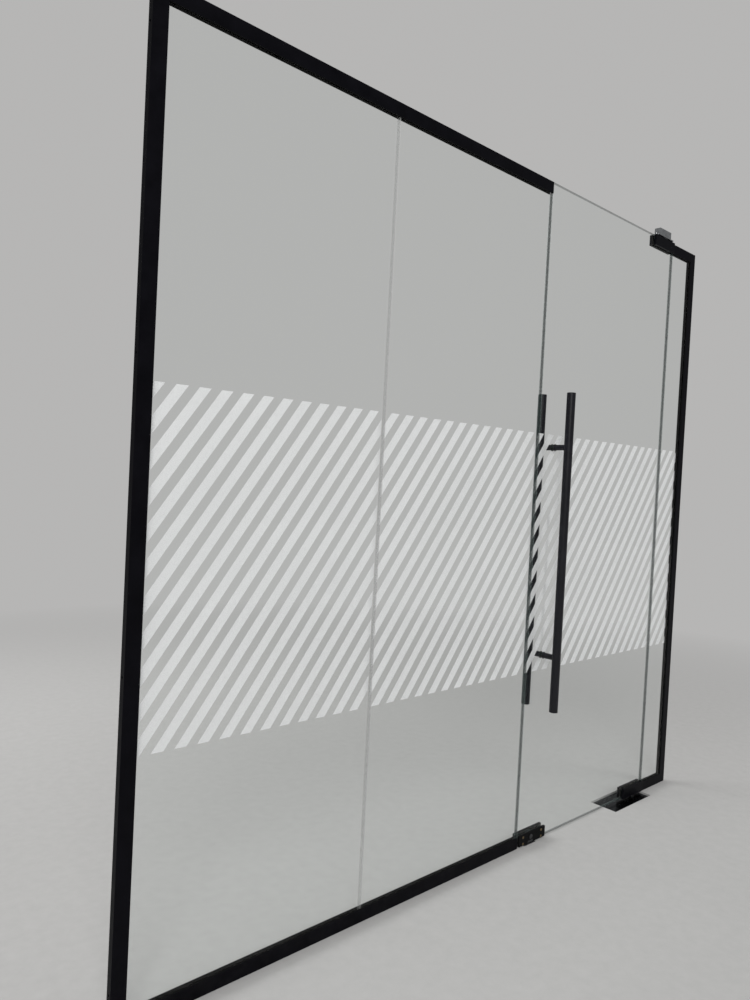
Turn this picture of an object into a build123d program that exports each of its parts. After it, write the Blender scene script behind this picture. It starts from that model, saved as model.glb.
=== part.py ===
from build123d import *
import os
from math import ceil, floor, radians, sqrt, tan

# A frameless glass entrance screen: two fixed panes butted together, a double-action door
# on a floor spring, and a narrow sidelight, held in slim black channels.
# X runs to the right as seen from outside, Y into the room, Z up. Sizes are in millimetres.
# The origin is under the sill channel, at the middle of the screen, on the glass mid-plane.

# Screen
screen_height = 2450.0
left_bay = 778.0          # left jamb's back to the middle of the butt joint
middle_bay = 767.0        # butt joint to the door opening
lock_gap = 3.0            # between the middle pane and the door leaf
leaf_width = 906.0
hinge_gap = 4.0           # between the door leaf and the sidelight
sidelight_bay = 203.0     # door opening to the right jamb's back
glass = 12.0
arris = 1.0               # ground edge of every pane
butt_gap = 4.0            # silicone joint between the two fixed panes

# Channels
channel_height = 40.0
channel_web = 2.0
channel_wall = 1.6
channel_lip_radius = 0.6
gasket = 2.4              # rubber between the glass and each leg of a channel
gasket_height = 8.0
gasket_proud = 0.5        # how far a gasket stands out of its channel
block_height = 6.0        # setting block under a pane
block_length = 100.0
pane_top_gap = 5.0        # free space over a pane in the head channel
pane_side_gap = 5.0       # free space beside a pane in a jamb channel
fixing_hole = 3.25        # radius of the holes in the channel webs
jamb_hole_inset = 100.0   # a jamb's outer holes from its ends
jamb_hole_inner = 750.0   # spacing of a jamb's inner pair of holes
long_hole_inset = 81.0    # the same for the long head and sill
long_hole_inner = 200.0
short_hole_inset = 15.5   # and for the sidelight's head and sill

# Door leaf
leaf_floor_gap = 4.0
leaf_above_head = 3.0     # the leaf's top over the head channels' top
pivot_inset = 65.0        # pivot axis from the leaf's hinge edge

# Striped film
film_thickness = 0.2
film_bottom = 652.0
film_top = 1542.0
stripe_width = 26.0       # measured square to the stripe
stripe_pitch = 50.3       # measured square to the stripes
stripe_angle = 54.0       # degrees above the horizontal
film_margin = 1.5         # between the film and a pane's free edge or a channel
left_film_start = 185.5   # middle of one stripe at the film's top, from the left jamb's back
middle_film_start = 830.9
door_film_start = 1637.3
sidelight_film_start = 2513.0

# Patch fittings at the door's corners
patch_length = 164.0
patch_height = 44.0
patch_depth = 32.0
patch_end_inset = 1.0     # from the leaf's upright edge to the patch's end
cover_wall = 1.2
cover_radius = 0.8
cover_gap = 0.3           # between a clamp plate and the cover over it
plate_inset = 2.0         # clamp plate's edge inside the cover's outline
patch_gasket = 1.0        # sheet between the glass and a clamp plate
clamp_inset = 26.0        # clamp screws from each end of the patch
clamp_low = 8.0           # lower and upper clamp screws over the leaf's edge
clamp_high = 32.0
screw_radius = 3.0
screw_head_radius = 4.8
screw_head_height = 3.5
screw_slack = 0.3         # round a screw's shank in the near plate
thread_slack = 0.05       # round a screw's shank in the far plate
notch_length = 152.0      # corner notch ground into the leaf
notch_height = 19.0
notch_radius = 6.0
ear_radius = 9.0          # rounded ears of the notch, round the upper clamp screws
pocket_slack = 0.2        # round a block that sits in the clamp plates
pocket_floor = 1.5        # clamp plate left behind a pocket

# Pivots
block_width = 36.0        # pivot block in a clamp plate's pocket
pivot_block_height = 17.0
pivot_block_lift = 1.5
head_length = 18.0        # spindle's oblong head
head_width = 12.0
head_height = 12.5
spindle_radius = 9.9
spindle_slack = 0.05
spindle_depth = 30.0      # how far the spindle goes down into the closer
bush_cover = 2.3          # pivot block on each side of its bush
pin_radius = 7.5
pin_slack = 0.05
pin_engagement = 14.0     # pin inside the top patch

# Floor spring
plate_drop = 8.0          # cover plate's top below the sill's underside
plate_thickness = 2.0
plate_length = 292.0
plate_width = 118.0
plate_tail = 57.0         # spindle axis from the cover plate's right end
plate_corner = 3.0
spindle_hole = 12.0
box_margin = 3.0          # floor box inside the cover plate's outline, each side
box_depth = 44.0
box_wall = 1.5
lug_length = 20.0
lug_hole = 3.3
lug_hole_spread = 80.0    # between the two holes of a lug
screw_post_radius = 6.0   # posts in the box that take the cover plate's screws
closer_end_gap = 15.0     # from the floor box's ends and sides to the closer
closer_side_gap = 10.0
closer_height = 36.0
closer_corner = 14.0
lid_thickness = 3.0
lid_margin = 4.0
valve_radius = 4.0
valve_spread = 24.0

# Overhead pivot
soffit_gap = 4.0          # door leaf to the pivot's plate
pivot_plate_length = 132.0
pivot_plate_width = 34.0
pivot_plate_thickness = 3.0
housing_length = 96.0
housing_width = 26.0
housing_height = 30.0
housing_wall = 2.0
housing_shift = 18.0      # housing's middle from the pivot axis
boss_wall = 3.5
boss_height = 16.0
adjuster_offset = 42.0    # adjusting screw from the pivot axis
adjuster_radius = 3.0
lever_width = 10.0
lever_thickness = 4.0

# Flush screws of the cover plate, closer lid, strike and overhead pivot
flush_radius = 2.5
flush_head_radius = 4.6
flush_head_height = 2.0
flush_length = 12.0
flush_slack = 0.2

# Corner lock
bolt_inset = 73.0         # bolt's middle from the patch's end
lock_axis = 24.0          # cylinder axis over the leaf's bottom edge
throw = 14.0
drive_pin_radius = 2.0
drive_slack = 0.25
slot_play = 1.5           # the drive pin's path departs this far from an even feed
bolt_width = 31.0
bolt_thickness = 9.0
nose_width = 16.0
nose_lift = 0.5
shoulder_height = 17.5    # underside of the bolt's wide part
case_wall = 1.5
case_slack = 0.3
case_lift = 1.5
cylinder_radius = 9.0
plug_radius = 6.0
plug_slack = 0.05
disc_radius = 9.6
disc_thickness = 3.0
disc_front = -8.4
keyway_width = 1.8
keyway_height = 7.5
keyway_depth = 4.0
window_height = 11.0      # opening in the front plate under the cylinder
strike_length = 66.0
strike_width = 26.0
strike_thickness = 2.0
strike_clearance = 1.2    # round the bolt's nose in the strike
strike_depth = 20.0

# Pull handles
handle_inset = 101.0      # handle axis from the leaf's lock edge
handle_centre = 1102.5
handle_length = 1188.0
handle_radius = 16.0
handle_wall = 1.5
handle_offset = 64.0      # tube axis from the glass mid-plane
post_spacing = 784.0
post_radius = 10.5
post_bore_depth = 20.0
stud_radius = 5.0
stud_slack = 0.05
glass_hole = 8.0
bush_flange_radius = 13.0
bush_flange = 1.0
cap_thickness = 1.5
cap_spigot = 5.0
cap_slack = 0.1
grub_radius = 2.5
grub_recess = 0.5         # grub screw's end inside the post's surface

# Places worked out from the sizes
leaf_height = screen_height + leaf_above_head - leaf_floor_gap
screen_width = left_bay + middle_bay + lock_gap + leaf_width + hinge_gap + sidelight_bay
left_end = -screen_width / 2
right_end = screen_width / 2
butt_x = left_end + left_bay
opening_left = butt_x + middle_bay
leaf_left = opening_left + lock_gap
leaf_right = leaf_left + leaf_width
opening_right = leaf_right + hinge_gap
leaf_bottom = leaf_floor_gap
leaf_top = leaf_bottom + leaf_height
pivot_x = leaf_right - pivot_inset
pivot_a = pivot_inset
bolt_a = patch_end_inset + bolt_inset
bolt_x = leaf_left + bolt_a
half_glass = glass / 2
slot_width = glass + 2 * gasket
channel_depth = slot_width + 2 * channel_wall
plate_inner = half_glass + patch_gasket
plate_outer = patch_depth / 2 - cover_wall - cover_gap
block_half_depth = plate_outer - pocket_floor - pocket_slack
bush_radius = block_half_depth - bush_cover
plate_top = -plate_drop
soffit_z = leaf_top + soffit_gap
pane_bottom = channel_web + block_height
pane_top = screen_height - channel_web - pane_top_gap


def box_between(x, y, z):
    """A block between the two values given for each axis."""
    size = Box(x[1] - x[0], y[1] - y[0], z[1] - z[0])
    return Pos((x[0] + x[1]) / 2, (y[0] + y[1]) / 2, (z[0] + z[1]) / 2) * size


def rod(radius, start, end, axis="Z"):
    """A cylinder from start along the named axis to the coordinate end."""
    x, y, z = start
    if axis == "Z":
        return Pos(x, y, (z + end) / 2) * Cylinder(radius, abs(end - z))
    if axis == "Y":
        return Pos(x, (y + end) / 2, z) * Rot(90, 0, 0) * Cylinder(radius, abs(end - y))
    return Pos((x + end) / 2, y, z) * Rot(0, 90, 0) * Cylinder(radius, abs(end - x))


def tube(outer, inner, start, end, axis="Z"):
    return rod(outer, start, end, axis) - rod(inner, start, end, axis)


def upright(shape):
    """Edges of a shape that run along Z."""
    return shape.edges().filter_by(Axis.Z)


# Channels, each drawn as a section with its web at y = 0 and its slot opening towards +y

def channel_section():
    outline = Pos(0, channel_height / 2) * Rectangle(channel_depth, channel_height)
    lips = outline.vertices().group_by(Axis.Y)[-1]
    outline = fillet(lips, channel_lip_radius)
    slot_height = channel_height - channel_web
    return outline - Pos(0, channel_web + slot_height / 2) * Rectangle(slot_width, slot_height)


def gasket_section(side):
    """A push-in strip with a sloping lip, between the glass and one leg."""
    near = half_glass
    far = slot_width / 2
    top = channel_height + gasket_proud
    low = channel_height - gasket_height
    points = [(near, low), (far, low + gasket / 2), (far, channel_height), (near, top)]
    strip = Polygon(*points, align=None)
    return strip if side > 0 else mirror(strip, Plane.YZ)


def sill_plane(start):
    return Plane(origin=(start, 0, 0), x_dir=(0, 1, 0), z_dir=(1, 0, 0))


def head_plane(end):
    return Plane(origin=(end, 0, screen_height), x_dir=(0, 1, 0), z_dir=(-1, 0, 0))


def left_jamb_plane(low):
    return Plane(origin=(left_end, 0, low), x_dir=(0, -1, 0), z_dir=(0, 0, 1))


def right_jamb_plane(low):
    return Plane(origin=(right_end, 0, low), x_dir=(0, 1, 0), z_dir=(0, 0, 1))


def channel(plane, length):
    return extrude(plane * channel_section(), length)


def strips(plane, length):
    """The gaskets on both sides of the glass."""
    return [extrude(plane * gasket_section(side), length) for side in (-1, 1)]


def jamb(plane, middle_x):
    body = channel(plane, screen_height)
    for spacing in (screen_height - 2 * jamb_hole_inset, jamb_hole_inner):
        for side in (-1, 1):
            z = screen_height / 2 + side * spacing / 2
            body -= rod(fixing_hole, (middle_x - channel_web, 0, z), middle_x + channel_web, "X")
    return body


def rail(low, high, at_head, inset, inner=()):
    """A head or sill channel from low to high along X, with holes in its web."""
    plane = head_plane(high) if at_head else sill_plane(low)
    web = screen_height if at_head else 0.0
    body = channel(plane, high - low)
    for spacing in (high - low - 2 * inset,) + inner:
        for side in (-1, 1):
            x = (low + high) / 2 + side * spacing / 2
            body -= rod(fixing_hole, (x, 0, web - channel_web), web + channel_web)
    return body


def long_rail(at_head):
    low = left_end + channel_height
    return rail(low, opening_left, at_head, long_hole_inset, (long_hole_inner,))


def short_rail(at_head):
    high = right_end - channel_height
    return rail(opening_right, high, at_head, short_hole_inset)


def jamb_gaskets():
    low = channel_height + gasket_proud
    length = screen_height - 2 * low
    return strips(left_jamb_plane(low), length) + strips(right_jamb_plane(low), length)


def rail_gaskets():
    low = left_end + channel_height
    high = right_end - channel_height
    pieces = []
    for start, end in ((low, opening_left), (opening_right, high)):
        pieces += strips(head_plane(end), end - start)
        pieces += strips(sill_plane(start), end - start)
    return pieces


def setting_blocks():
    """Two blocks under each pane, a quarter of its clear width in from its ends."""
    blocks = []
    spans = ((left_end + channel_height, butt_x), (butt_x, opening_left),
             (opening_right, right_end - channel_height))
    for low, high in spans:
        length = min(block_length, (high - low) / 7)
        for share in (0.25, 0.75):
            x = low + share * (high - low)
            ends = (x - length / 2, x + length / 2)
            blocks.append(box_between(ends, (-half_glass, half_glass), (channel_web, pane_bottom)))
    return blocks


# Panes

def left_pane_span():
    return left_end + channel_web + pane_side_gap, butt_x - butt_gap / 2


def middle_pane_span():
    return butt_x + butt_gap / 2, opening_left


def sidelight_span():
    return opening_right, right_end - channel_web - pane_side_gap


def pane(span):
    sheet = box_between(span, (-half_glass, half_glass), (pane_bottom, pane_top))
    faces = sheet.faces().filter_by(Axis.Y)
    return chamfer(faces.edges(), arris)


def butt_seal():
    """Silicone that fills the butt joint between the panes' ground edges."""
    half = half_glass - arris
    strip = box_between((butt_x - butt_gap / 2, butt_x + butt_gap / 2), (-half, half),
                        (pane_bottom, pane_top))
    return strip


def corner_notch(with_lock):
    """What is ground away at a corner of the leaf: a notch with two rounded ears."""
    outside = 2.0
    notch = box_between((-outside, notch_length), (-glass, glass), (-outside, notch_height))
    inner = upright_y(notch).sort_by(Axis.Z)[-2:].sort_by(Axis.X)[-1]
    notch = fillet(inner, notch_radius)
    for a in clamp_places():
        notch += box_between((a - ear_radius, a + ear_radius), (-glass, glass), (0, clamp_high))
        notch += rod(ear_radius, (a, -glass, clamp_high), glass, "Y")
    if with_lock:
        half = case_width() / 2 + 2.0
        top = case_top() + 2.0
        tab = box_between((bolt_a - half, bolt_a + half), (-glass, glass), (0, top))
        tab = fillet(upright_y(tab).group_by(Axis.Z)[-1], notch_radius)
        notch += tab
    return notch


def upright_y(shape):
    """Edges of a shape that run along Y."""
    return shape.edges().filter_by(Axis.Y)


def clamp_places():
    """Where the clamp screws stand along a patch, from the leaf's upright edge."""
    near = patch_end_inset + clamp_inset
    far = patch_end_inset + patch_length - clamp_inset
    return near, far


def at_corner(shape, corner):
    """Moves a shape drawn for the leaf's lower left corner to the named corner."""
    if corner == "lock":
        return Pos(leaf_left, 0, leaf_bottom) * shape
    if corner == "bottom":
        return Pos(leaf_right, 0, leaf_bottom) * mirror(shape, Plane.YZ)
    return Pos(leaf_right, 0, leaf_top) * Rot(0, 180, 0) * shape


def door_glass():
    span = (leaf_left, leaf_right)
    sheet = box_between(span, (-half_glass, half_glass), (leaf_bottom, leaf_top))
    sheet = chamfer(sheet.faces().filter_by(Axis.Y).edges(), arris)
    for corner in ("lock", "bottom", "top"):
        sheet -= at_corner(corner_notch(corner == "lock"), corner)
    for z in post_heights():
        sheet -= rod(glass_hole, (handle_x(), -glass, z), glass, "Y")
    return sheet


# Film

def film(low, high, start):
    """White stripes rising to the right, trimmed to one pane."""
    slope = tan(radians(stripe_angle))
    lean = (film_top - film_bottom) / slope
    across = sqrt(1 + 1 / slope ** 2)
    pitch = stripe_pitch * across
    half = stripe_width * across / 2
    first = ceil((low - half - start) / pitch)
    last = floor((high + lean + half - start) / pitch)
    field = Pos((low + high) / 2, (film_bottom + film_top) / 2)
    field *= Rectangle(high - low, film_top - film_bottom)
    plane = Plane(origin=(0, half_glass, 0), x_dir=(1, 0, 0), z_dir=(0, -1, 0))
    stripes = []
    for index in range(first, last + 1):
        top = start + index * pitch
        points = [(top - half, film_top), (top + half, film_top),
                  (top + half - lean, film_bottom), (top - half - lean, film_bottom)]
        for piece in (field & Polygon(*points, align=None)).faces():
            if piece.area > stripe_width ** 2 / 4:
                stripes.append(extrude(plane * piece, film_thickness, dir=(0, 1, 0)))
    return stripes


def pane_film(span, in_jamb_left, in_jamb_right, start):
    low = span[0] + film_margin
    high = span[1] - film_margin
    if in_jamb_left:
        low = left_end + channel_height + film_margin
    if in_jamb_right:
        high = right_end - channel_height - film_margin
    return film(low, high, left_end + start)


def door_film():
    """The leaf's film, cut round the handle's bushes."""
    keep_out = bush_flange_radius + film_margin
    stripes = film(leaf_left + film_margin, leaf_right - film_margin, left_end + door_film_start)
    trimmed = []
    for stripe in stripes:
        for z in post_heights():
            stripe -= rod(keep_out, (handle_x(), 0, z), glass, "Y")
        trimmed += list(stripe.solids())
    return trimmed


# Patch fittings, drawn for the leaf's lower left corner and moved by at_corner

def cover(side, with_spindle):
    """A pressed cap over a clamp plate, closed on its face and four sides."""
    far = patch_depth / 2
    a = (patch_end_inset, patch_end_inset + patch_length)
    shell = box_between(a, (half_glass, far), (0, patch_height))
    shell = fillet(shell.faces().sort_by(Axis.Y)[-1].edges(), cover_radius)
    inside_a = (a[0] + cover_wall, a[1] - cover_wall)
    inside_h = (cover_wall, patch_height - cover_wall)
    shell -= box_between(inside_a, (0, far - cover_wall), inside_h)
    if with_spindle:
        shell -= rod(spindle_hole, (pivot_a, 0, -1), cover_wall + 1)
    return shell if side > 0 else mirror(shell, Plane.XZ)


def plate_body(side):
    a = (patch_end_inset + plate_inset, patch_end_inset + patch_length - plate_inset)
    body = box_between(a, (plate_inner, plate_outer), (plate_inset, patch_height - plate_inset))
    body = fillet(upright_y(body), notch_radius / 4)
    for place in clamp_places():
        for height in (clamp_low, clamp_high):
            if side < 0:
                body -= rod(screw_radius + screw_slack, (place, 0, height), patch_depth, "Y")
                floor_y = plate_outer - screw_head_height
                sink = rod(screw_head_radius + screw_slack, (place, floor_y, height),
                           patch_depth, "Y")
                body -= sink
            else:
                body -= rod(screw_radius + thread_slack, (place, 0, height), patch_depth, "Y")
    return body if side > 0 else mirror(body, Plane.XZ)


def pivot_plate(side):
    """A clamp plate with the pocket that holds half of the pivot block."""
    half = block_width / 2 + pocket_slack
    depth = block_half_depth + pocket_slack
    top = pivot_block_lift + pivot_block_height + pocket_slack
    return plate_body(side) - box_between((pivot_a - half, pivot_a + half), (-depth, depth),
                                          (-1, top))


def lock_plate(side):
    """A clamp plate with the pocket for the lock case; the front one is open under the cylinder."""
    half = case_width() / 2 + pocket_slack
    depth = block_half_depth + pocket_slack
    ends = (bolt_a - half, bolt_a + half)
    body = plate_body(side)
    body -= box_between(ends, (-depth, depth), (-1, case_top() + pocket_slack))
    if side < 0:
        body -= box_between(ends, (-patch_depth, 0), (-1, window_height))
        hole = cylinder_radius + pocket_slack
        body -= rod(hole, (bolt_a, -patch_depth, lock_axis), 0, "Y")
    return body


def patch_gaskets(with_lock):
    """Fibre sheets on both faces of the glass, cut out like the notch."""
    a = (patch_end_inset + plate_inset, patch_end_inset + patch_length - plate_inset)
    sheet = box_between(a, (half_glass, plate_inner), (plate_inset, patch_height - plate_inset))
    sheet -= corner_notch(with_lock)
    return [solid for side in (sheet, mirror(sheet, Plane.XZ)) for solid in side.solids()]


def clamp_screw(place, height):
    outer = -plate_outer
    under_head = outer + screw_head_height
    head = rod(screw_head_radius, (place, outer, height), under_head, "Y")
    shank = rod(screw_radius, (place, under_head, height), plate_outer - 1, "Y")
    socket_plane = Plane(origin=(place, outer, height), x_dir=(1, 0, 0), z_dir=(0, 1, 0))
    socket = extrude(socket_plane * RegularPolygon(screw_radius, 6), screw_head_height / 2)
    return head + shank - socket


def clamp_screws():
    return [clamp_screw(a, h) for a in clamp_places() for h in (clamp_low, clamp_high)]


def pivot_block():
    half = block_width / 2
    depth = block_half_depth
    top = pivot_block_lift + pivot_block_height
    return box_between((pivot_a - half, pivot_a + half), (-depth, depth), (pivot_block_lift, top))


def spindle_block():
    """The insert that sits on the floor spring's oblong spindle head."""
    socket = box_between((pivot_a - head_length / 2 - thread_slack,
                          pivot_a + head_length / 2 + thread_slack),
                         (-head_width / 2 - thread_slack, head_width / 2 + thread_slack),
                         (-1, pivot_block_lift + head_height + thread_slack))
    return pivot_block() - socket


def bush_block():
    """The insert at the top corner, bored for its bush."""
    top = pivot_block_lift + pivot_block_height
    return pivot_block() - rod(bush_radius, (pivot_a, 0, 0), top + 1)


def bush():
    top = pivot_block_lift + pivot_block_height
    return tube(bush_radius, pin_radius + pin_slack, (pivot_a, 0, pivot_block_lift), top)


# Floor spring

def spindle():
    """Round in the closer, oblong in the door's bottom patch, with two flats milled on it."""
    foot = plate_top - plate_thickness - spindle_depth
    shoulder = leaf_bottom + pivot_block_lift
    shaft = rod(spindle_radius, (pivot_x, 0, foot), shoulder)
    head = box_between((pivot_x - head_length / 2, pivot_x + head_length / 2),
                       (-head_width / 2, head_width / 2), (shoulder, shoulder + head_height))
    head = chamfer(head.faces().sort_by(Axis.Z)[-1].edges(), arris)
    return shaft + head


def plate_span():
    right = pivot_x + plate_tail
    return right - plate_length, right


def flush_screw(x, y, z, up=False):
    """A countersunk screw whose flat head lies at z and whose shank points down, or up."""
    cone_low = Circle(flush_radius)
    cone_high = Circle(flush_head_radius)
    head = loft([Plane.XY.offset(-flush_head_height) * cone_low, Plane.XY * cone_high])
    shank = rod(flush_radius, (0, 0, -flush_length), -flush_head_height)
    slot = box_between((-flush_head_radius, flush_head_radius), (-0.6, 0.6),
                       (-flush_head_height / 2, 1))
    screw = head + shank - slot
    if up:
        screw = Rot(180, 0, 0) * screw
    return Pos(x, y, z) * screw


def flush_hole(x, y, z, depth, up=False):
    """The clearance hole of a flush screw, countersunk, through a plate of this depth."""
    wide = flush_head_radius + flush_slack
    narrow = flush_radius + flush_slack
    cone = loft([Plane.XY.offset(-flush_head_height) * Circle(narrow), Plane.XY * Circle(wide)])
    hole = cone + rod(narrow, (0, 0, -depth - 1), -flush_head_height)
    hole += rod(wide, (0, 0, 0), 1)
    if up:
        hole = Rot(180, 0, 0) * hole
    return Pos(x, y, z) * hole


def plate_screw_places():
    low, high = plate_span()
    return [(low + box_margin + box_wall + 5, 0), (high - box_margin - box_wall - 5, 0)]


def cover_plate():
    low, high = plate_span()
    half = plate_width / 2
    plate = box_between((low, high), (-half, half), (plate_top - plate_thickness, plate_top))
    plate = fillet(upright(plate), plate_corner)
    plate -= rod(spindle_hole, (pivot_x, 0, plate_top - plate_thickness - 1), plate_top + 1)
    for x, y in plate_screw_places():
        plate -= flush_hole(x, y, plate_top, plate_thickness)
    return plate


def box_span():
    low, high = plate_span()
    return low + box_margin, high - box_margin


def floor_box():
    """An open steel tray under the cover plate, with a drilled lug at each end."""
    low, high = box_span()
    half = plate_width / 2 - box_margin
    top = plate_top - plate_thickness
    bottom = top - box_depth
    inside = bottom + box_wall
    tray = box_between((low - lug_length, high + lug_length), (-half, half), (bottom, inside))
    for x in (low - lug_length / 2, high + lug_length / 2):
        for y in (-lug_hole_spread / 2, lug_hole_spread / 2):
            tray -= rod(lug_hole, (x, y, bottom - 1), inside + 1)
    walls = box_between((low, high), (-half, half), (inside, top))
    walls = fillet(upright(walls), plate_corner)
    walls -= box_between((low + box_wall, high - box_wall), (box_wall - half, half - box_wall),
                         (inside, top))
    tray += walls
    for x, y in plate_screw_places():
        tray += rod(screw_post_radius, (x, y, inside), top)
        tray -= rod(flush_radius + thread_slack, (x, y, top - flush_length), top)
    return tray


def closer_span():
    low, high = box_span()
    return low + closer_end_gap, high - closer_end_gap


def closer_half_width():
    return plate_width / 2 - box_margin - closer_side_gap


def closer_floor():
    return plate_top - plate_thickness - box_depth + box_wall


def closer_body():
    """The sealed cast housing of the spring and damper, bored for the spindle."""
    low, high = closer_span()
    half = closer_half_width()
    bottom = closer_floor()
    top = bottom + closer_height
    body = box_between((low, high), (-half, half), (bottom, top))
    body = fillet(upright(body), closer_corner)
    foot = plate_top - plate_thickness - spindle_depth
    body -= rod(spindle_radius + spindle_slack, (pivot_x, 0, foot - 0.5), top + 1)
    for side in (-1, 1):
        valve = rod(valve_radius, (low - 1, side * valve_spread / 2, (bottom + top) / 2),
                    low + 6, "X")
        body -= valve
    for x, y in lid_screw_places():
        body -= rod(flush_radius + thread_slack, (x, y, top - flush_length), top + 1)
    return body


def lid_screw_places():
    low, high = closer_span()
    inset = closer_corner
    half = closer_half_width() - inset
    return [(x, y) for x in (low + inset, high - inset) for y in (-half, half)]


def closer_lid():
    low, high = closer_span()
    half = closer_half_width() - lid_margin
    bottom = closer_floor() + closer_height
    top = bottom + lid_thickness
    lid = box_between((low + lid_margin, high - lid_margin), (-half, half), (bottom, top))
    lid = fillet(upright(lid), closer_corner - lid_margin)
    lid -= rod(spindle_radius + 1.0, (pivot_x, 0, bottom - 1), top + 1)
    for x, y in lid_screw_places():
        lid -= flush_hole(x, y, top, lid_thickness)
    return lid


def strike_hole():
    return nose_width / 2 + strike_clearance, bolt_thickness / 2 + strike_clearance


def strike():
    """A floor plate with a pressed cup that takes the lock's bolt."""
    half_x, half_y = strike_hole()
    plate = box_between((bolt_x - strike_length / 2, bolt_x + strike_length / 2),
                        (-strike_width / 2, strike_width / 2), (-strike_thickness, 0))
    plate = fillet(upright(plate), plate_corner)
    wall = strike_thickness
    plate += box_between((bolt_x - half_x - wall, bolt_x + half_x + wall),
                         (-half_y - wall, half_y + wall), (-strike_depth, -strike_thickness))
    plate -= box_between((bolt_x - half_x, bolt_x + half_x), (-half_y, half_y),
                         (wall - strike_depth, 1))
    for x, y in strike_screw_places():
        plate -= flush_hole(x, y, 0, strike_thickness)
    return plate


def strike_screw_places():
    reach = (strike_length / 2 + nose_width / 2 + strike_clearance + strike_thickness) / 2
    return [(bolt_x - reach, 0), (bolt_x + reach, 0)]


# Overhead pivot

def pivot_plate_screw_places():
    reach = (pivot_plate_length + housing_length) / 4
    middle = pivot_x - housing_shift
    return [(middle - reach, 0), (middle + reach, 0)]


def pivot_frame():
    """Plate on the soffit with a welded housing above it, open at the top."""
    middle = pivot_x - housing_shift
    half = pivot_plate_length / 2
    top = soffit_z + pivot_plate_thickness
    frame = box_between((middle - half, middle + half),
                        (-pivot_plate_width / 2, pivot_plate_width / 2), (soffit_z, top))
    frame = fillet(upright(frame), plate_corner)
    half = housing_length / 2
    wide = housing_width / 2
    housing = box_between((middle - half, middle + half), (-wide, wide),
                          (top, top + housing_height))
    housing -= box_between((middle - half + housing_wall, middle + half - housing_wall),
                           (housing_wall - wide, wide - housing_wall),
                           (top, top + housing_height + 1))
    boss_radius = pin_radius + boss_wall
    frame += housing
    frame += rod(boss_radius, (pivot_x, 0, top), top + boss_height)
    frame -= rod(pin_radius + pin_slack, (pivot_x, 0, soffit_z - 1), top + boss_height + 1)
    frame -= flush_hole(pivot_x - adjuster_offset, 0, soffit_z, pivot_plate_thickness, True)
    for x, y in pivot_plate_screw_places():
        frame -= flush_hole(x, y, soffit_z, pivot_plate_thickness, True)
    return frame


def lever_z():
    return soffit_z + pivot_plate_thickness + boss_height + 4.0


def pivot_pin():
    return rod(pin_radius, (pivot_x, 0, leaf_top - pin_engagement), lever_z() - cover_gap)


def pivot_adjuster():
    """The screw that lifts the lever, and with it the pin, to release the door."""
    x = pivot_x - adjuster_offset
    stem = Pos(x, 0, soffit_z) * Rot(180, 0, 0) * loft([
        Plane.XY.offset(-flush_head_height) * Circle(flush_radius),
        Plane.XY * Circle(flush_head_radius)])
    low = soffit_z + flush_head_height
    stem += rod(flush_radius, (x, 0, low), lever_z() + lever_thickness + 2)
    slot = box_between((x - flush_head_radius, x + flush_head_radius), (-0.6, 0.6),
                       (soffit_z - 1, soffit_z + flush_head_height / 2))
    return stem - slot


def pivot_lever():
    low = lever_z()
    end = pivot_x - adjuster_offset - lever_width / 2
    bar = box_between((end, pivot_x + lever_width / 2), (-lever_width / 2, lever_width / 2),
                      (low, low + lever_thickness))
    bar = fillet(upright(bar), lever_width / 2.2)
    return bar - rod(flush_radius + thread_slack, (pivot_x - adjuster_offset, 0, low - 1),
                     low + lever_thickness + 1)


def flush_screws():
    """Every flush screw of the cover plate, closer lid, strike and overhead pivot."""
    lid_top = closer_floor() + closer_height + lid_thickness
    screws = [flush_screw(x, y, plate_top) for x, y in plate_screw_places()]
    screws += [flush_screw(x, y, lid_top) for x, y in lid_screw_places()]
    screws += [flush_screw(x, y, 0) for x, y in strike_screw_places()]
    screws += [flush_screw(x, y, soffit_z, True) for x, y in pivot_plate_screw_places()]
    return screws


# Corner lock, drawn for the leaf's lower left corner

def eccentric():
    return throw / 2


def slot_half_height():
    return drive_pin_radius + slot_play + drive_slack


def bolt_top():
    return lock_axis + eccentric() + slot_half_height() + 2.3


def case_width():
    return bolt_width + 2 * (case_slack + case_wall)


def case_top():
    return bolt_top() + case_slack + case_wall


def lock_case():
    """A folded steel box round the bolt, open to the floor where the nose comes out."""
    half = case_width() / 2
    depth = block_half_depth
    box = box_between((bolt_a - half, bolt_a + half), (-depth, depth), (case_lift, case_top()))
    wall = case_wall
    box -= box_between((bolt_a - half + wall, bolt_a + half - wall), (wall - depth, depth - wall),
                       (case_lift + wall, case_top() - wall))
    box -= box_between((bolt_a - nose_width / 2 - case_slack, bolt_a + nose_width / 2 + case_slack),
                       (-bolt_thickness / 2 - case_slack, bolt_thickness / 2 + case_slack),
                       (-1, case_lift + wall + 1))
    bore = cylinder_radius + thread_slack
    return box - rod(bore, (bolt_a, -depth - 1, lock_axis), 0.5 - depth + wall, "Y")


def lock_cylinder():
    front = -patch_depth / 2
    return tube(cylinder_radius, plug_radius + plug_slack, (bolt_a, front, lock_axis),
                case_wall - block_half_depth, "Y")


def lock_plug():
    """The turning core: a keyed plug, a disc and an eccentric drive pin."""
    face = cover_wall / 2 - patch_depth / 2
    plug = rod(plug_radius, (bolt_a, face, lock_axis), disc_front, "Y")
    plug += rod(disc_radius, (bolt_a, disc_front, lock_axis), disc_front + disc_thickness, "Y")
    plug += rod(drive_pin_radius, (bolt_a, disc_front + disc_thickness, lock_axis + eccentric()),
                bolt_thickness / 2 - drive_slack, "Y")
    plug -= box_between((bolt_a - keyway_width / 2, bolt_a + keyway_width / 2),
                        (face - 1, face + keyway_depth),
                        (lock_axis - keyway_height / 2, lock_axis + keyway_height / 2))
    return plug


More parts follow.
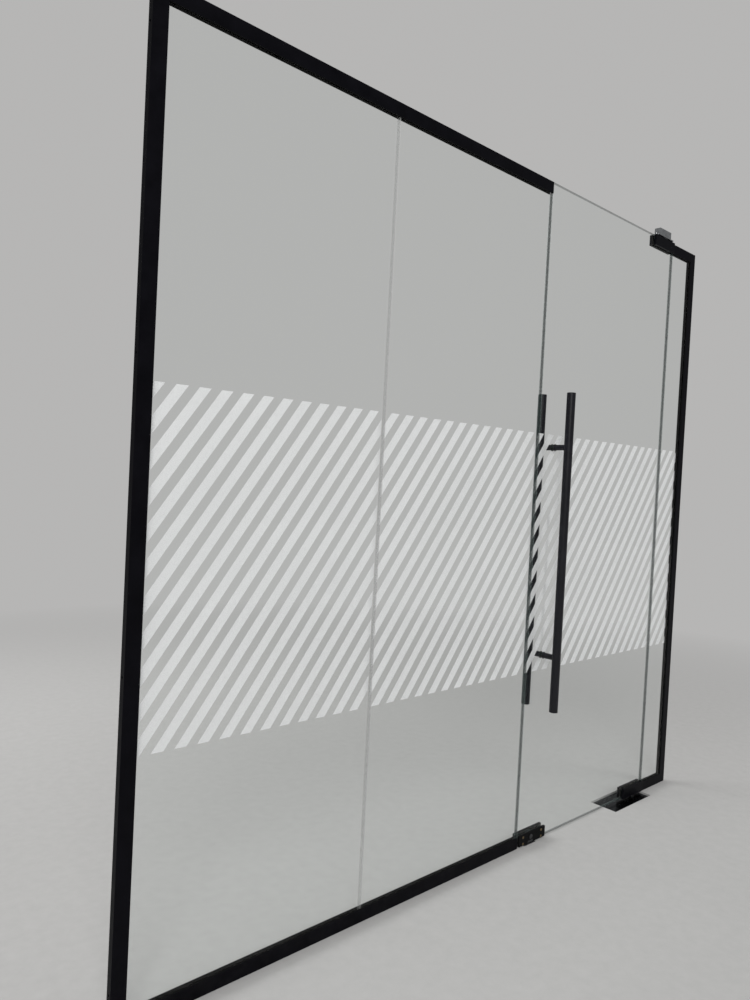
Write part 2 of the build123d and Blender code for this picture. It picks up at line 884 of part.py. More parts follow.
def lock_bolt():
    """The bolt: a nose for the strike, and a wide part with the drive pin's slot."""
    half = bolt_thickness / 2
    wide = box_between((bolt_a - bolt_width / 2, bolt_a + bolt_width / 2), (-half, half),
                       (shoulder_height, bolt_top()))
    nose = box_between((bolt_a - nose_width / 2, bolt_a + nose_width / 2), (-half, half),
                       (nose_lift, shoulder_height))
    nose = chamfer(nose.faces().sort_by(Axis.Z)[0].edges(), arris)
    reach = eccentric() + drive_pin_radius + drive_slack
    middle = lock_axis + eccentric()
    slot = box_between((bolt_a - reach, bolt_a + reach), (-half - 1, half + 1),
                       (middle - slot_half_height(), middle + slot_half_height()))
    return wide + nose - slot


# Pull handles

def handle_x():
    return leaf_left + handle_inset


def post_heights():
    return handle_centre - post_spacing / 2, handle_centre + post_spacing / 2


def handle_tube(side):
    low = handle_centre - handle_length / 2 + cap_thickness
    high = handle_centre + handle_length / 2 - cap_thickness
    return tube(handle_radius, handle_radius - handle_wall, (handle_x(), side * handle_offset, low),
                high)


def handle_caps():
    """A flat cap with a spigot in each end of both tubes."""
    caps = []
    for side in (-1, 1):
        y = side * handle_offset
        for way in (-1, 1):
            end = handle_centre + way * handle_length / 2
            seat = end - way * cap_thickness
            cap = rod(handle_radius, (handle_x(), y, min(end, seat)), max(end, seat))
            edge = cap.faces().sort_by(Axis.Z)[-1 if way > 0 else 0].edges()
            cap = chamfer(edge, cap_thickness / 3)
            spigot = handle_radius - handle_wall - cap_slack
            caps.append(cap + rod(spigot, (handle_x(), y, seat), seat - way * cap_spigot))
    return caps


def handle_post(side, z):
    """A stand-off from the glass to the tube, saddle-cut to the tube and bored for the stud."""
    seat = half_glass + bush_flange
    post = rod(post_radius, (handle_x(), seat, z), handle_offset, "Y")
    post -= rod(handle_radius, (handle_x(), handle_offset, z - 2 * post_radius),
                z + 2 * post_radius)
    post -= rod(stud_radius + stud_slack, (handle_x(), 0, z), seat + post_bore_depth, "Y")
    if side > 0:
        return post - grub_hole(z)
    return mirror(post, Plane.XZ)


def handle_posts():
    return [handle_post(side, z) for side in (-1, 1) for z in post_heights()]


def handle_bushes():
    """Flanged nylon bushes that keep the posts and studs off the glass."""
    bushes = []
    for z in post_heights():
        flange = rod(bush_flange_radius, (handle_x(), half_glass, z), half_glass + bush_flange, "Y")
        sleeve = rod(glass_hole - stud_slack, (handle_x(), 0.5, z), half_glass, "Y")
        bore = rod(stud_radius + stud_slack, (handle_x(), 0, z), glass, "Y")
        piece = flange + sleeve - bore
        bushes += [piece, mirror(piece, Plane.XZ)]
    return bushes


def grub_place(z):
    """Under a back post, half-way along the stud inside it."""
    return handle_x(), half_glass + bush_flange + post_bore_depth / 2, z


def grub_hole(z):
    x, y, z = grub_place(z)
    return rod(grub_radius + thread_slack, (x, y, z - 2 * post_radius), z)


def handle_grub_screws():
    """Headless screws that lock the back posts on the studs, each with a hexagon socket."""
    screws = []
    for height in post_heights():
        x, y, z = grub_place(height)
        low = z - post_radius + grub_recess
        screw = rod(grub_radius, (x, y, low), z - stud_radius)
        socket = extrude(Pos(x, y, low) * RegularPolygon(grub_radius / 1.8, 6), grub_radius)
        screws.append(screw - socket)
    return screws


def handle_studs():
    end = half_glass + bush_flange + post_bore_depth - 1
    return [rod(stud_radius, (handle_x(), -end, z), end, "Y") for z in post_heights()]


def save(name, shape):
    """Writes one node; a list is a group of separate solids."""
    if isinstance(shape, (list, tuple)):
        shape = Compound(children=[s for piece in shape for s in piece.solids()])
    export_step(shape, os.path.join("parts", name + ".step"))


def save_frame():
    save("left_jamb_channel", jamb(left_jamb_plane(0), left_end))
    save("right_jamb_channel", jamb(right_jamb_plane(0), right_end))
    save("fixed_head_channel", long_rail(True))
    save("fixed_sill_channel", long_rail(False))
    save("sidelight_head_channel", short_rail(True))
    save("sidelight_sill_channel", short_rail(False))
    save("jamb_gaskets", jamb_gaskets())
    save("rail_gaskets", rail_gaskets())
    save("setting_blocks", setting_blocks())
    save("left_pane", pane(left_pane_span()))
    save("middle_pane", pane(middle_pane_span()))
    save("sidelight_pane", pane(sidelight_span()))
    save("butt_joint_seal", butt_seal())
    save("left_pane_film", pane_film(left_pane_span(), True, False, left_film_start))
    save("middle_pane_film", pane_film(middle_pane_span(), False, False, middle_film_start))
    save("sidelight_film", pane_film(sidelight_span(), False, True, sidelight_film_start))


def save_pivots():
    save("floor_box", floor_box())
    save("floor_spring_body", closer_body())
    save("floor_spring_lid", closer_lid())
    save("floor_cover_plate", cover_plate())
    save("flush_screws", flush_screws())
    save("lock_strike", strike())
    save("top_pivot_frame", pivot_frame())
    save("top_pivot_pin", pivot_pin())
    save("top_pivot_adjuster", pivot_adjuster())
    save("top_pivot_lever", pivot_lever())
    save("floor_spindle", spindle())


def save_patches():
    for corner in ("bottom", "top"):
        name = corner + "_patch_"
        save(name + "front_plate", at_corner(pivot_plate(-1), corner))
        save(name + "back_plate", at_corner(pivot_plate(1), corner))
        save(name + "gaskets", [at_corner(s, corner) for s in patch_gaskets(False)])
        save(name + "screws", [at_corner(s, corner) for s in clamp_screws()])
        save(name + "front_cover", at_corner(cover(-1, True), corner))
        save(name + "back_cover", at_corner(cover(1, True), corner))
    save("bottom_patch_spindle_block", at_corner(spindle_block(), "bottom"))
    save("top_patch_bush_block", at_corner(bush_block(), "top"))
    save("top_patch_bush", at_corner(bush(), "top"))
    save("lock_patch_front_plate", at_corner(lock_plate(-1), "lock"))
    save("lock_patch_back_plate", at_corner(lock_plate(1), "lock"))
    save("lock_patch_gaskets", [at_corner(s, "lock") for s in patch_gaskets(True)])
    save("lock_patch_screws", [at_corner(s, "lock") for s in clamp_screws()])
    save("lock_patch_back_cover", at_corner(cover(1, False), "lock"))
    save("lock_case", at_corner(lock_case(), "lock"))
    save("lock_cylinder", at_corner(lock_cylinder(), "lock"))
    save("lock_plug", at_corner(lock_plug(), "lock"))
    save("lock_bolt", at_corner(lock_bolt(), "lock"))


def save_door():
    save("door_glass", door_glass())
    save("door_film", door_film())
    save("front_handle_tube", handle_tube(-1))
    save("back_handle_tube", handle_tube(1))
    save("handle_caps", handle_caps())
    save("handle_posts", handle_posts())
    save("handle_bushes", handle_bushes())
    save("handle_studs", handle_studs())
    save("handle_grub_screws", handle_grub_screws())


os.makedirs("parts", exist_ok=True)
save_frame()
save_pivots()
save_patches()
save_door()
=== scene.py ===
"""Finishes a frameless glass entrance screen and its pivot door, and sets it in a plain studio."""

import bmesh
import bpy
from bpy.props import FloatProperty, FloatVectorProperty, PointerProperty
from mathutils import Matrix, Vector


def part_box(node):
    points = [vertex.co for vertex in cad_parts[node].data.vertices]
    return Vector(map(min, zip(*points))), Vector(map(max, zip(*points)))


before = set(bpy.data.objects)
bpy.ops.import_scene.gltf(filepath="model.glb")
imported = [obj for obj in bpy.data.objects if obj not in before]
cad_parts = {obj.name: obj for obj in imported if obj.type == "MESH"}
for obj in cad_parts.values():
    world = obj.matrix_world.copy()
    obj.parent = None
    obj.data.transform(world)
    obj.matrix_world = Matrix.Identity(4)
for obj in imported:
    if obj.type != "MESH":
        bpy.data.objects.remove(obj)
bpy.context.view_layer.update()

bl_info = {
    "name": "Glass entrance screen",
    "version": (1, 0, 0),
    "blender": (4, 5, 0),
    "location": "3D View > Sidebar > Screen",
    "description": "Finishes a glass entrance screen and sets it in a plain studio",
    "category": "Object",
}

MM = 0.001
FACE_NORMAL = 0.9  # part of the normal along Y over which a pane's surface is one of its two faces
EDGE_NORMAL = 0.3  # and under which it is an upright or level edge, and no ground arris
WETTED = 8 * MM  # reach of the silicone on both sides of the butt joint
PLATE_BED = 3 * MM  # how far the floor is cut below the top of a plate let into it

# Noise patterns: waves to the metre, detail and roughness
COAT_TOOTH = (1400.0, 2.0, 0.55)
CAST_SKIN = (620.0, 5.0, 0.65)
CAST_LUMPS = (48.0, 3.0, 0.5)
MOULD_SKIN = (700.0, 3.0, 0.6)
FIBRE_SKIN = (420.0, 3.0, 0.6)
SILICONE_BUBBLES = (900.0, 2.0, 0.5)
DRAWN_STREAKS = (4.0, 4.0, 0.6)

# Spread patterns: the same, and the levels of the noise that become 0 and 1
DUST_PATCHES = (38.0, 5.0, 0.65, 0.42, 0.72)
DUST_GRAINS = (900.0, 2.0, 0.6, 0.48, 0.62)
COAT_CLOUDS = (14.0, 4.0, 0.6, 0.3, 0.7)
HANDLING_CLOUDS = (42.0, 4.0, 0.6, 0.32, 0.7)
ZINC_CLOUDS = (30.0, 3.0, 0.5, 0.3, 0.7)
MOULD_CLOUDS = (24.0, 3.0, 0.5, 0.3, 0.7)
PANE_SMEARS = (2.6, 5.0, 0.62, 0.46, 0.75)
PANE_WIPES = (3.0, 4.0, 0.6, 0.5, 0.8)
EDGE_WAVES = (160.0, 4.0, 0.6, 0.3, 0.7)
SILICONE_MILK = (60.0, 4.0, 0.6, 0.3, 0.7)
FILM_MOTTLE = (520.0, 3.0, 0.6, 0.35, 0.65)
FILM_DRIFT = (3.2, 3.0, 0.5, 0.3, 0.7)
FLOOR_SPECKLE = (26.0, 5.0, 0.6, 0.3, 0.7)

# What stretched patterns multiply the coordinates by: on drawn metal, and on a pane
DRAWN_ALONG = 9.0
DRAWN_ACROSS = 260.0
WIPE_STRETCH = (9.0, 1.0, 1.6)

ZINC_SPANGLE = 210.0  # flakes to the metre
COAT_DUST = 0.015  # how much of the dust stays on a black coat
GLASS_IOR = 1.5
PANE_HAZE = 0.032  # how much of what is behind it the haze of a pane hides where it is thickest

# Lamps: name, place, target, size, share of the key lamp or rear lamp, and whether mirrors show it
LAMPS = (
    ("key_lamp", (-3.4, -3.6, 3.9), (0.0, 0.0, 1.1), (2.4, 2.4), ("key", 1.0), True),
    ("side_lamp", (3.6, -3.4, 2.6), (0.4, 0.0, 1.0), (2.0, 2.4), ("key", 0.5), False),
    ("rear_lamp", (-1.6, 3.8, 3.4), (0.0, 0.0, 1.1), (3.0, 2.0), ("rear", 1.0), False),
)

# The visitor's camera: its place, its own three directions and its lens
CAMERA_PLACE = (-2.0717, -1.6647, 1.3326)
CAMERA_RIGHT = (0.74272, -0.66766, 0.05092)
CAMERA_UP = (-0.02156, 0.05217, 0.99841)
CAMERA_AHEAD = (0.66926, 0.74263, -0.02435)
CAMERA_LENS = 27.12
CAMERA_SENSOR = 36.0


# Sizes and colours that a user would change


def colour(name, description, default):
    return FloatVectorProperty(
        name=name, description=description, subtype="COLOR", size=3, min=0.0, max=1.0, default=default
    )


def share(name, description, default):
    return FloatProperty(
        name=name, description=description, subtype="FACTOR", min=0.0, max=1.0, default=default
    )


def length(name, description, default):
    return FloatProperty(
        name=name, description=description, unit="LENGTH", subtype="DISTANCE", default=default
    )


def power(name, description, default):
    return FloatProperty(name=name, description=description, unit="POWER", default=default)


class FinishSettings(bpy.types.PropertyGroup):
    """Colours and finishes of the screen, the door and its fittings."""

    anodising: colour("Channel colour", "Satin black of the channels", (0.0023, 0.0022, 0.0034))
    coating: colour("Fitting colour", "Black of the patch covers and pull handles", (0.0025, 0.0025, 0.0036))
    plate: colour("Clamp plate colour", "Black coat of the clamp plates", (0.0032, 0.0032, 0.0036))
    rubber: colour("Rubber colour", "Gaskets and setting blocks", (0.0045, 0.0045, 0.0045))
    glass_tint: colour("Glass tint", "Colour that one face of a pane lets through", (0.975, 0.984, 0.981))
    glass_edge: colour("Glass edge", "Green of a pane's edges", (0.022, 0.036, 0.034))
    sheen: share("Glass sheen", "Strength of the reflection in a pane's faces", 0.5)
    arris: colour("Arris", "Pale ground strip between a pane's face and its edge", (0.36, 0.44, 0.42))
    smears: colour("Smears", "Haze and smears on the panes", (0.72, 0.72, 0.7))
    edge_cover: share("Edge cover", "How much of what is behind it a pane's edge hides", 0.56)
    film: colour("Film colour", "White of the striped film", (0.77, 0.76, 0.767))
    film_cover: share("Film cover", "How much of what is behind it the film hides", 0.86)
    silicone: colour("Silicone colour", "Clear silicone in the butt joint", (0.36, 0.365, 0.36))
    bright_steel: colour("Bright steel", "Spindle, pin, bolt and screws", (0.56, 0.57, 0.58))
    zinc: colour("Zinc plate", "Floor box, lid and overhead pivot", (0.50, 0.52, 0.54))
    casting: colour("Casting", "Paint of the floor spring's housing", (0.07, 0.075, 0.08))
    cover_plate: colour("Floor plate", "Dark polished floor plate", (0.042, 0.048, 0.057))
    brass: colour("Brass", "Clamp screws of the lock patch", (0.30, 0.235, 0.14))
    bronze: colour("Bronze", "Bush of the upper pivot", (0.42, 0.27, 0.12))
    fibre: colour("Fibre", "Sheets between glass and clamp plates", (0.05, 0.048, 0.045))
    nylon: colour("Nylon", "Bushes of the pull handles", (0.03, 0.03, 0.03))
    nickel: colour("Dark nickel", "Lock cylinder and core", (0.10, 0.10, 0.105))
    dust: colour("Dust", "Building dust on the sills and the foot of the glass", (0.42, 0.40, 0.37))
    dust_height: length("Dust height", "How far building dust has risen", 0.18)


class StudioSettings(bpy.types.PropertyGroup):
    """Floor, backdrop and lamps."""

    floor: colour("Floor colour", "Pale plain floor", (0.41, 0.406, 0.399))
    backdrop: colour("Backdrop colour", "Pale plain backdrop", (0.47, 0.466, 0.461))
    mirrored: share("Mirrored backdrop", "How bright the backdrop looks in mirrors", 0.45)
    fade: FloatVectorProperty(
        name="Floor fade",
        description="Distances between which the floor takes on the backdrop's colour",
        size=2,
        unit="LENGTH",
        default=(2.4, 5.6),
    )
    floor_reach: length("Floor reach", "Half the width of the floor", 16.0)
    pit_margin: length("Pit margin", "Gap round a plate let into the floor", 1.5 * MM)
    fill: FloatProperty(name="Fill", description="Level of the soft light from all round", default=0.62)
    key: power("Key lamp", "Power of the lamp in front", 150.0)
    rear: power("Rear lamp", "Power of the lamp in the room", 110.0)


def finishes():
    return bpy.context.scene.screen_finish


def studio():
    return bpy.context.scene.screen_studio


# Shader maths


class Value:
    """The output of a shader node. Python's operators on it add Math nodes."""

    def __init__(self, recipe, socket):
        self.recipe = recipe
        self.socket = socket

    def maths(self, operation, *terms):
        return self.recipe.node("ShaderNodeMath", {"operation": operation}, dict(enumerate(terms)))

    def __add__(self, other):
        return self.maths("ADD", self, other)

    __radd__ = __add__

    def __mul__(self, other):
        return self.maths("MULTIPLY", self, other)

    __rmul__ = __mul__

    def __sub__(self, other):
        return self.maths("SUBTRACT", self, other)

    def __rsub__(self, other):
        return self.maths("SUBTRACT", other, self)

    def __gt__(self, other):
        return self.maths("GREATER_THAN", self, other)

    def __abs__(self):
        return self.maths("ABSOLUTE", self)

    def largest(self, other):
        return self.maths("MAXIMUM", self, other)

    def root(self):
        return self.maths("SQRT", self)


class Recipe:
    """A material's or world's node tree, filled by one method."""

    def __init__(self, holder):
        holder.use_nodes = True
        self.tree = holder.node_tree
        self.tree.nodes.clear()

    def node(self, kind, settings=None, inputs=None, output=0):
        """Adds a node: its settings first, then the values or links of its sockets.

        Gives the named output, every output where output is None, or nothing where the node has none.
        """
        made = self.tree.nodes.new(kind)
        for key, value in (settings or {}).items():
            setattr(made, key, value)
        for key, value in (inputs or {}).items():
            if isinstance(value, Value):
                self.tree.links.new(value.socket, made.inputs[key])
            else:
                made.inputs[key].default_value = value
        if output is None:
            return [Value(self, socket) for socket in made.outputs]
        return Value(self, made.outputs[output]) if made.outputs else None

    def place(self, output="Object"):
        return self.node("ShaderNodeTexCoord", output=output)

    def axes(self, vector):
        """The three parts of a vector."""
        return self.node("ShaderNodeSeparateXYZ", None, {0: vector}, output=None)

    def stretched(self, scale):
        """Object coordinates, multiplied along each axis."""
        return self.node(
            "ShaderNodeMapping", {"vector_type": "POINT"}, {"Vector": self.place(), "Scale": scale}
        )

    def noise(self, scale, detail, roughness, where=None):
        where = where or self.place()
        inputs = {"Vector": where, "Scale": scale, "Detail": detail, "Roughness": roughness}
        return self.node("ShaderNodeTexNoise", {"noise_dimensions": "3D"}, inputs)

    def clouds(self, scale, detail, roughness, low, high, where=None):
        """Noise spread out so that its levels from low to high run from 0 to 1."""
        return self.between(self.noise(scale, detail, roughness, where), low, high)

    def between(self, value, low, high, out_low=0.0, out_high=1.0):
        """A value taken from one range to another, held at its ends."""
        inputs = {"Value": value, "From Min": low, "From Max": high, "To Min": out_low, "To Max": out_high}
        return self.node("ShaderNodeMapRange", {"clamp": True}, inputs)

    def scaled(self, part, low, high):
        """A value that goes from low to high as part goes from 0 to 1."""
        return self.between(part, 0.0, 1.0, low, high)

    def blend(self, amount, first, second):
        """One colour turning into another."""
        inputs = {0: amount}
        for key, tone in ((6, first), (7, second)):
            inputs[key] = tone if isinstance(tone, Value) else (*tone, 1.0)
        return self.node("ShaderNodeMix", {"data_type": "RGBA"}, inputs, output=2)

    def bump(self, height, strength, distance):
        inputs = {"Height": height, "Strength": strength, "Distance": distance}
        return self.node("ShaderNodeBump", None, inputs)

    def principled(self, **sockets):
        named = {key.replace("_", " "): value for key, value in sockets.items()}
        return self.node("ShaderNodeBsdfPrincipled", None, named)

    def mixed(self, amount, first, second):
        return self.node("ShaderNodeMixShader", None, {0: amount, 1: first, 2: second})

    def surface(self, shader):
        self.node("ShaderNodeOutputMaterial", None, {"Surface": shader})


def shaded(values, factor):
    """A colour made darker or lighter."""
    return tuple(min(1.0, part * factor) for part in values)


def fresh(name):
    """A new material and its node tree."""
    material = bpy.data.materials.new(name)
    return material, Recipe(material)


def dust_over(recipe, base):
    """Lays building dust over a colour, thick at the foot, thin and patchy above, and gives its amount."""
    finish = finishes()
    height = recipe.axes(recipe.place())[2]
    foot = recipe.between(height, 0.0, finish.dust_height, 1.0, 0.12)
    patches = recipe.clouds(*DUST_PATCHES)
    grains = recipe.clouds(*DUST_GRAINS)
    amount = foot * patches * (0.35 + 0.65 * grains) * COAT_DUST
    return recipe.blend(amount, base, finish.dust), amount


def satin_black(name, tone, roughness, specular=0.05):
    """A black coat with a fine tooth, cloudy sheen and some building dust."""
    material, recipe = fresh(name)
    clouds = recipe.clouds(*COAT_CLOUDS)
    base = recipe.blend(clouds, shaded(tone, 0.8), shaded(tone, 1.5))
    coloured, amount = dust_over(recipe, base)
    rough = recipe.scaled(clouds, roughness - 0.06, roughness + 0.07) + amount * 0.4
    recipe.surface(
        recipe.principled(
            Base_Color=coloured,
            Roughness=rough,
            Specular_IOR_Level=specular,
            Normal=recipe.bump(recipe.noise(*COAT_TOOTH), strength=0.12, distance=0.2 * MM),
        )
    )
    return material


def drawn_metal(name, tone, roughness, along, streak=0.16, stain=0.0):
    """Metal with fine streaks along one axis, cloudy with handling."""
    material, recipe = fresh(name)
    scale = [DRAWN_ACROSS] * 3
    scale["XYZ".index(along)] = DRAWN_ALONG
    streaks = recipe.noise(*DRAWN_STREAKS, recipe.stretched(scale))
    clouds = recipe.clouds(*HANDLING_CLOUDS)
    lines = recipe.between(streaks, 0.3, 0.7)
    base = recipe.blend(lines, shaded(tone, 1.0 - streak), shaded(tone, 1.0 + streak))
    if stain:
        base = recipe.blend(clouds * stain, base, shaded(tone, 0.45))
    recipe.surface(
        recipe.principled(
            Base_Color=base,
            Metallic=1.0,
            Roughness=recipe.scaled(clouds, roughness - 0.05, roughness + 0.10),
            Normal=recipe.bump(streaks, strength=0.08, distance=0.2 * MM),
        )
    )
    return material


def zinc_plate(name, tone):
    """Bright zinc with its faint spangle."""
    material, recipe = fresh(name)
    inputs = {"Vector": recipe.place(), "Scale": ZINC_SPANGLE}
    cells = recipe.node("ShaderNodeTexVoronoi", {"feature": "F1"}, inputs, "Color")
    flake = recipe.axes(cells)[0]
    clouds = recipe.clouds(*ZINC_CLOUDS)
    base = recipe.blend(flake * 0.6 + clouds * 0.4, shaded(tone, 0.82), shaded(tone, 1.15))
    recipe.surface(
        recipe.principled(
            Base_Color=base,
            Metallic=1.0,
            Roughness=recipe.scaled(flake, 0.32, 0.48),
            Normal=recipe.bump(clouds, strength=0.05, distance=0.3 * MM),
        )
    )
    return material


def painted_casting(name, tone):
    """Cast iron under grey paint, with its sand-cast skin."""
    material, recipe = fresh(name)
    skin = recipe.noise(*CAST_SKIN)
    lumps = recipe.noise(*CAST_LUMPS)
    base = recipe.blend(recipe.between(lumps, 0.3, 0.7), shaded(tone, 0.8), shaded(tone, 1.25))
    recipe.surface(
        recipe.principled(
            Base_Color=base,
            Roughness=recipe.between(skin, 0.3, 0.7, 0.48, 0.66),
            Normal=recipe.bump(skin * 0.5 + lumps * 0.5, strength=0.35, distance=0.6 * MM),
        )
    )
    return material


def matt_mould(name, tone, roughness, grain=MOULD_SKIN, tooth=0.08):
    """Rubber, nylon or fibre with a fine matt skin."""
    material, recipe = fresh(name)
    clouds = recipe.clouds(*MOULD_CLOUDS)
    base = recipe.blend(clouds, shaded(tone, 0.8), shaded(tone, 1.4))
    recipe.surface(
        recipe.principled(
            Base_Color=base,
            Roughness=recipe.scaled(clouds, roughness - 0.05, roughness + 0.08),
            Specular_IOR_Level=0.1,
            Normal=recipe.bump(recipe.noise(*grain), strength=tooth, distance=0.2 * MM),
        )
    )
    return material


def pane_faces(recipe):
    """See-through faces with a mirror sheen, some smears and a bloom of dust at the foot."""
    finish = finishes()
    outside = 1.0 - recipe.node("ShaderNodeNewGeometry", output="Backfacing")
    sheen = recipe.node("ShaderNodeFresnel", None, {"IOR": GLASS_IOR}) * outside * finish.sheen
    clear = recipe.node("ShaderNodeBsdfTransparent", None, {"Color": (*finish.glass_tint, 1.0)})
    mirror = recipe.node("ShaderNodeBsdfAnisotropic", {"distribution": "GGX"}, {"Roughness": 0.02})
    height = recipe.axes(recipe.place())[2]
    smears = recipe.clouds(*PANE_SMEARS)
    wipes = recipe.clouds(*PANE_WIPES, recipe.stretched(WIPE_STRETCH))
    foot = recipe.between(height, 0.0, finish.dust_height * 2.0, 1.0, 0.2)
    haze = (smears * 0.5 + wipes * 0.35 + 0.15) * foot * PANE_HAZE
    bloom = recipe.node("ShaderNodeBsdfDiffuse", None, {"Color": (*finish.smears, 1.0)})
    return recipe.mixed(haze, recipe.mixed(sheen, clear, mirror), bloom)


def pane_edges(recipe, facing, bonded):
    """Green ground edges with a pale arris, clear where the silicone at bonded wets them."""
    finish = finishes()
    is_edge = 1.0 - (abs(facing) > EDGE_NORMAL)
    waves = recipe.clouds(*EDGE_WAVES)
    ground = recipe.blend(is_edge, finish.arris, finish.glass_edge)
    shades = recipe.blend(waves, ground, shaded(finish.glass_edge, 0.7))
    cover = recipe.scaled(waves, finish.edge_cover - 0.06, finish.edge_cover + 0.06)
    if bonded is not None:
        wet = 1.0 - (abs(recipe.axes(recipe.place())[0] - bonded) > WETTED)
        shades = recipe.blend(wet, shades, finish.silicone)
        cover = cover * (1.0 - wet * 0.7)
    rough = recipe.scaled(waves, 0.16, 0.34)
    return recipe.principled(Base_Color=shades, Roughness=rough, IOR=GLASS_IOR, Alpha=cover)


def float_glass(name, bonded=None):
    """Clear panes with green ground edges. bonded is the X of an upright edge in silicone, if any."""
    material, recipe = fresh(name)
    facing = recipe.axes(recipe.place("Normal"))[1]
    is_face = abs(facing) > FACE_NORMAL
    recipe.surface(recipe.mixed(is_face, pane_edges(recipe, facing, bonded), pane_faces(recipe)))
    return material


def butt_silicone(name):
    """Clear silicone that has cured milky, with small bubbles."""
    material, recipe = fresh(name)
    milk = recipe.clouds(*SILICONE_MILK)
    tone = finishes().silicone
    base = recipe.blend(milk, shaded(tone, 0.88), shaded(tone, 1.15))
    recipe.surface(
        recipe.principled(
            Base_Color=base,
            Roughness=recipe.scaled(milk, 0.38, 0.52),
            Specular_IOR_Level=0.15,
            Alpha=recipe.scaled(milk, 0.22, 0.34),
            Normal=recipe.bump(recipe.noise(*SILICONE_BUBBLES), strength=0.05, distance=0.2 * MM),
        )
    )
    return material


def frosted_film(name):
    """White vinyl, nearly opaque, finely mottled and a little uneven over its length."""
    finish = finishes()
    material, recipe = fresh(name)
    mottle = recipe.clouds(*FILM_MOTTLE)
    drift = recipe.clouds(*FILM_DRIFT)
    base = recipe.blend(mottle * 0.4 + drift * 0.6, shaded(finish.film, 0.95), shaded(finish.film, 1.03))
    recipe.surface(
        recipe.principled(
            Base_Color=base,
            Roughness=recipe.scaled(mottle, 0.5, 0.64),
            Specular_IOR_Level=0.3,
            Alpha=recipe.scaled(mottle, finish.film_cover - 0.05, finish.film_cover + 0.06),
            Normal=recipe.bump(mottle, strength=0.06, distance=0.1 * MM),
        )
    )
    return material


# Pieces


def dress(material, *nodes):
    """Gives CAD nodes one material."""
    for name in nodes:
        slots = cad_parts[name].data.materials
        slots.clear()
        slots.append(material)


class FinishChannels(bpy.types.Operator):
    """Black channels, their gaskets and the blocks under the panes"""

    bl_idname = "screen.finish_channels"
    bl_label = "Finish the channels"

    def execute(self, context):
        finish = finishes()
        dress(
            satin_black("channel_anodising", finish.anodising, 0.44),
            "left_jamb_channel",
            "right_jamb_channel",
            "fixed_head_channel",
            "fixed_sill_channel",
            "sidelight_head_channel",
            "sidelight_sill_channel",
        )
        dress(matt_mould("gasket_rubber", finish.rubber, 0.7, tooth=0.02), "jamb_gaskets", "rail_gaskets")
        dress(matt_mould("setting_block_plastic", shaded(finish.rubber, 4.0), 0.5), "setting_blocks")
        return {"FINISHED"}


class FinishGlass(bpy.types.Operator):
    """Clear panes with green edges, and the silicone between the fixed ones"""

    bl_idname = "screen.finish_glass"
    bl_label = "Finish the glass"

    def execute(self, context):
        low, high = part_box("butt_joint_seal")
        dress(float_glass("bonded_pane", (low.x + high.x) / 2), "left_pane", "middle_pane")
        dress(float_glass("clear_pane"), "sidelight_pane", "door_glass")
        dress(butt_silicone("joint_silicone"), "butt_joint_seal")
        return {"FINISHED"}


class FinishFilm(bpy.types.Operator):
    """White stripes on the room side of every pane"""

    bl_idname = "screen.finish_film"
    bl_label = "Finish the film"

    def execute(self, context):
        film = frosted_film("stripe_film")
        dress(film, "left_pane_film", "middle_pane_film", "sidelight_film", "door_film")
        return {"FINISHED"}


class FinishPatches(bpy.types.Operator):
    """Patch fittings at the door's pivot corners"""

    bl_idname = "screen.finish_patches"
    bl_label = "Finish the patch fittings"

    def execute(self, context):
        finish = finishes()
        cover = satin_black("patch_cover_black", finish.coating, 0.36)
        plate = satin_black("clamp_plate_black", finish.plate, 0.5)
        fibre = matt_mould("clamp_fibre", finish.fibre, 0.8, FIBRE_SKIN)
        steel = drawn_metal("patch_screw_steel", finish.bright_steel, 0.34, "Y")
        block = drawn_metal("pivot_block_steel", finish.bright_steel, 0.4, "X", stain=0.3)
        for corner in ("bottom_patch_", "top_patch_"):
            dress(cover, corner + "front_cover", corner + "back_cover")
            dress(plate, corner + "front_plate", corner + "back_plate")
            dress(fibre, corner + "gaskets")
            dress(steel, corner + "screws")
        dress(block, "bottom_patch_spindle_block", "top_patch_bush_block")
        dress(drawn_metal("bush_bronze", finish.bronze, 0.38, "Z"), "top_patch_bush")
        return {"FINISHED"}


class FinishLock(bpy.types.Operator):
    """Corner lock, open at the front where its cover is missing"""

    bl_idname = "screen.finish_lock"
    bl_label = "Finish the lock"

    def execute(self, context):
        finish = finishes()
        dress(
            satin_black("lock_plate_black", finish.plate, 0.52),
            "lock_patch_front_plate",
            "lock_patch_back_plate",
        )
        dress(satin_black("lock_cover_black", finish.coating, 0.36), "lock_patch_back_cover")
        dress(matt_mould("lock_fibre", finish.fibre, 0.8, FIBRE_SKIN), "lock_patch_gaskets")
        dress(drawn_metal("clamp_screw_brass", finish.brass, 0.36, "Y", stain=0.35), "lock_patch_screws")
        # The lock case takes the zinc's colour darkened to 0.24: painted shade inside the open front of the
        # lock patch; its stains are real
        case = drawn_metal("lock_case_shaded_steel", shaded(finish.zinc, 0.24), 0.46, "X", stain=0.5)
        dress(case, "lock_case")
        dress(drawn_metal("lock_nickel", finish.nickel, 0.3, "Y"), "lock_cylinder", "lock_plug")
        dress(drawn_metal("bolt_steel", finish.bright_steel, 0.3, "Z", stain=0.25), "lock_bolt")
        dress(drawn_metal("strike_steel", finish.bright_steel, 0.36, "X", stain=0.4), "lock_strike")
        return {"FINISHED"}


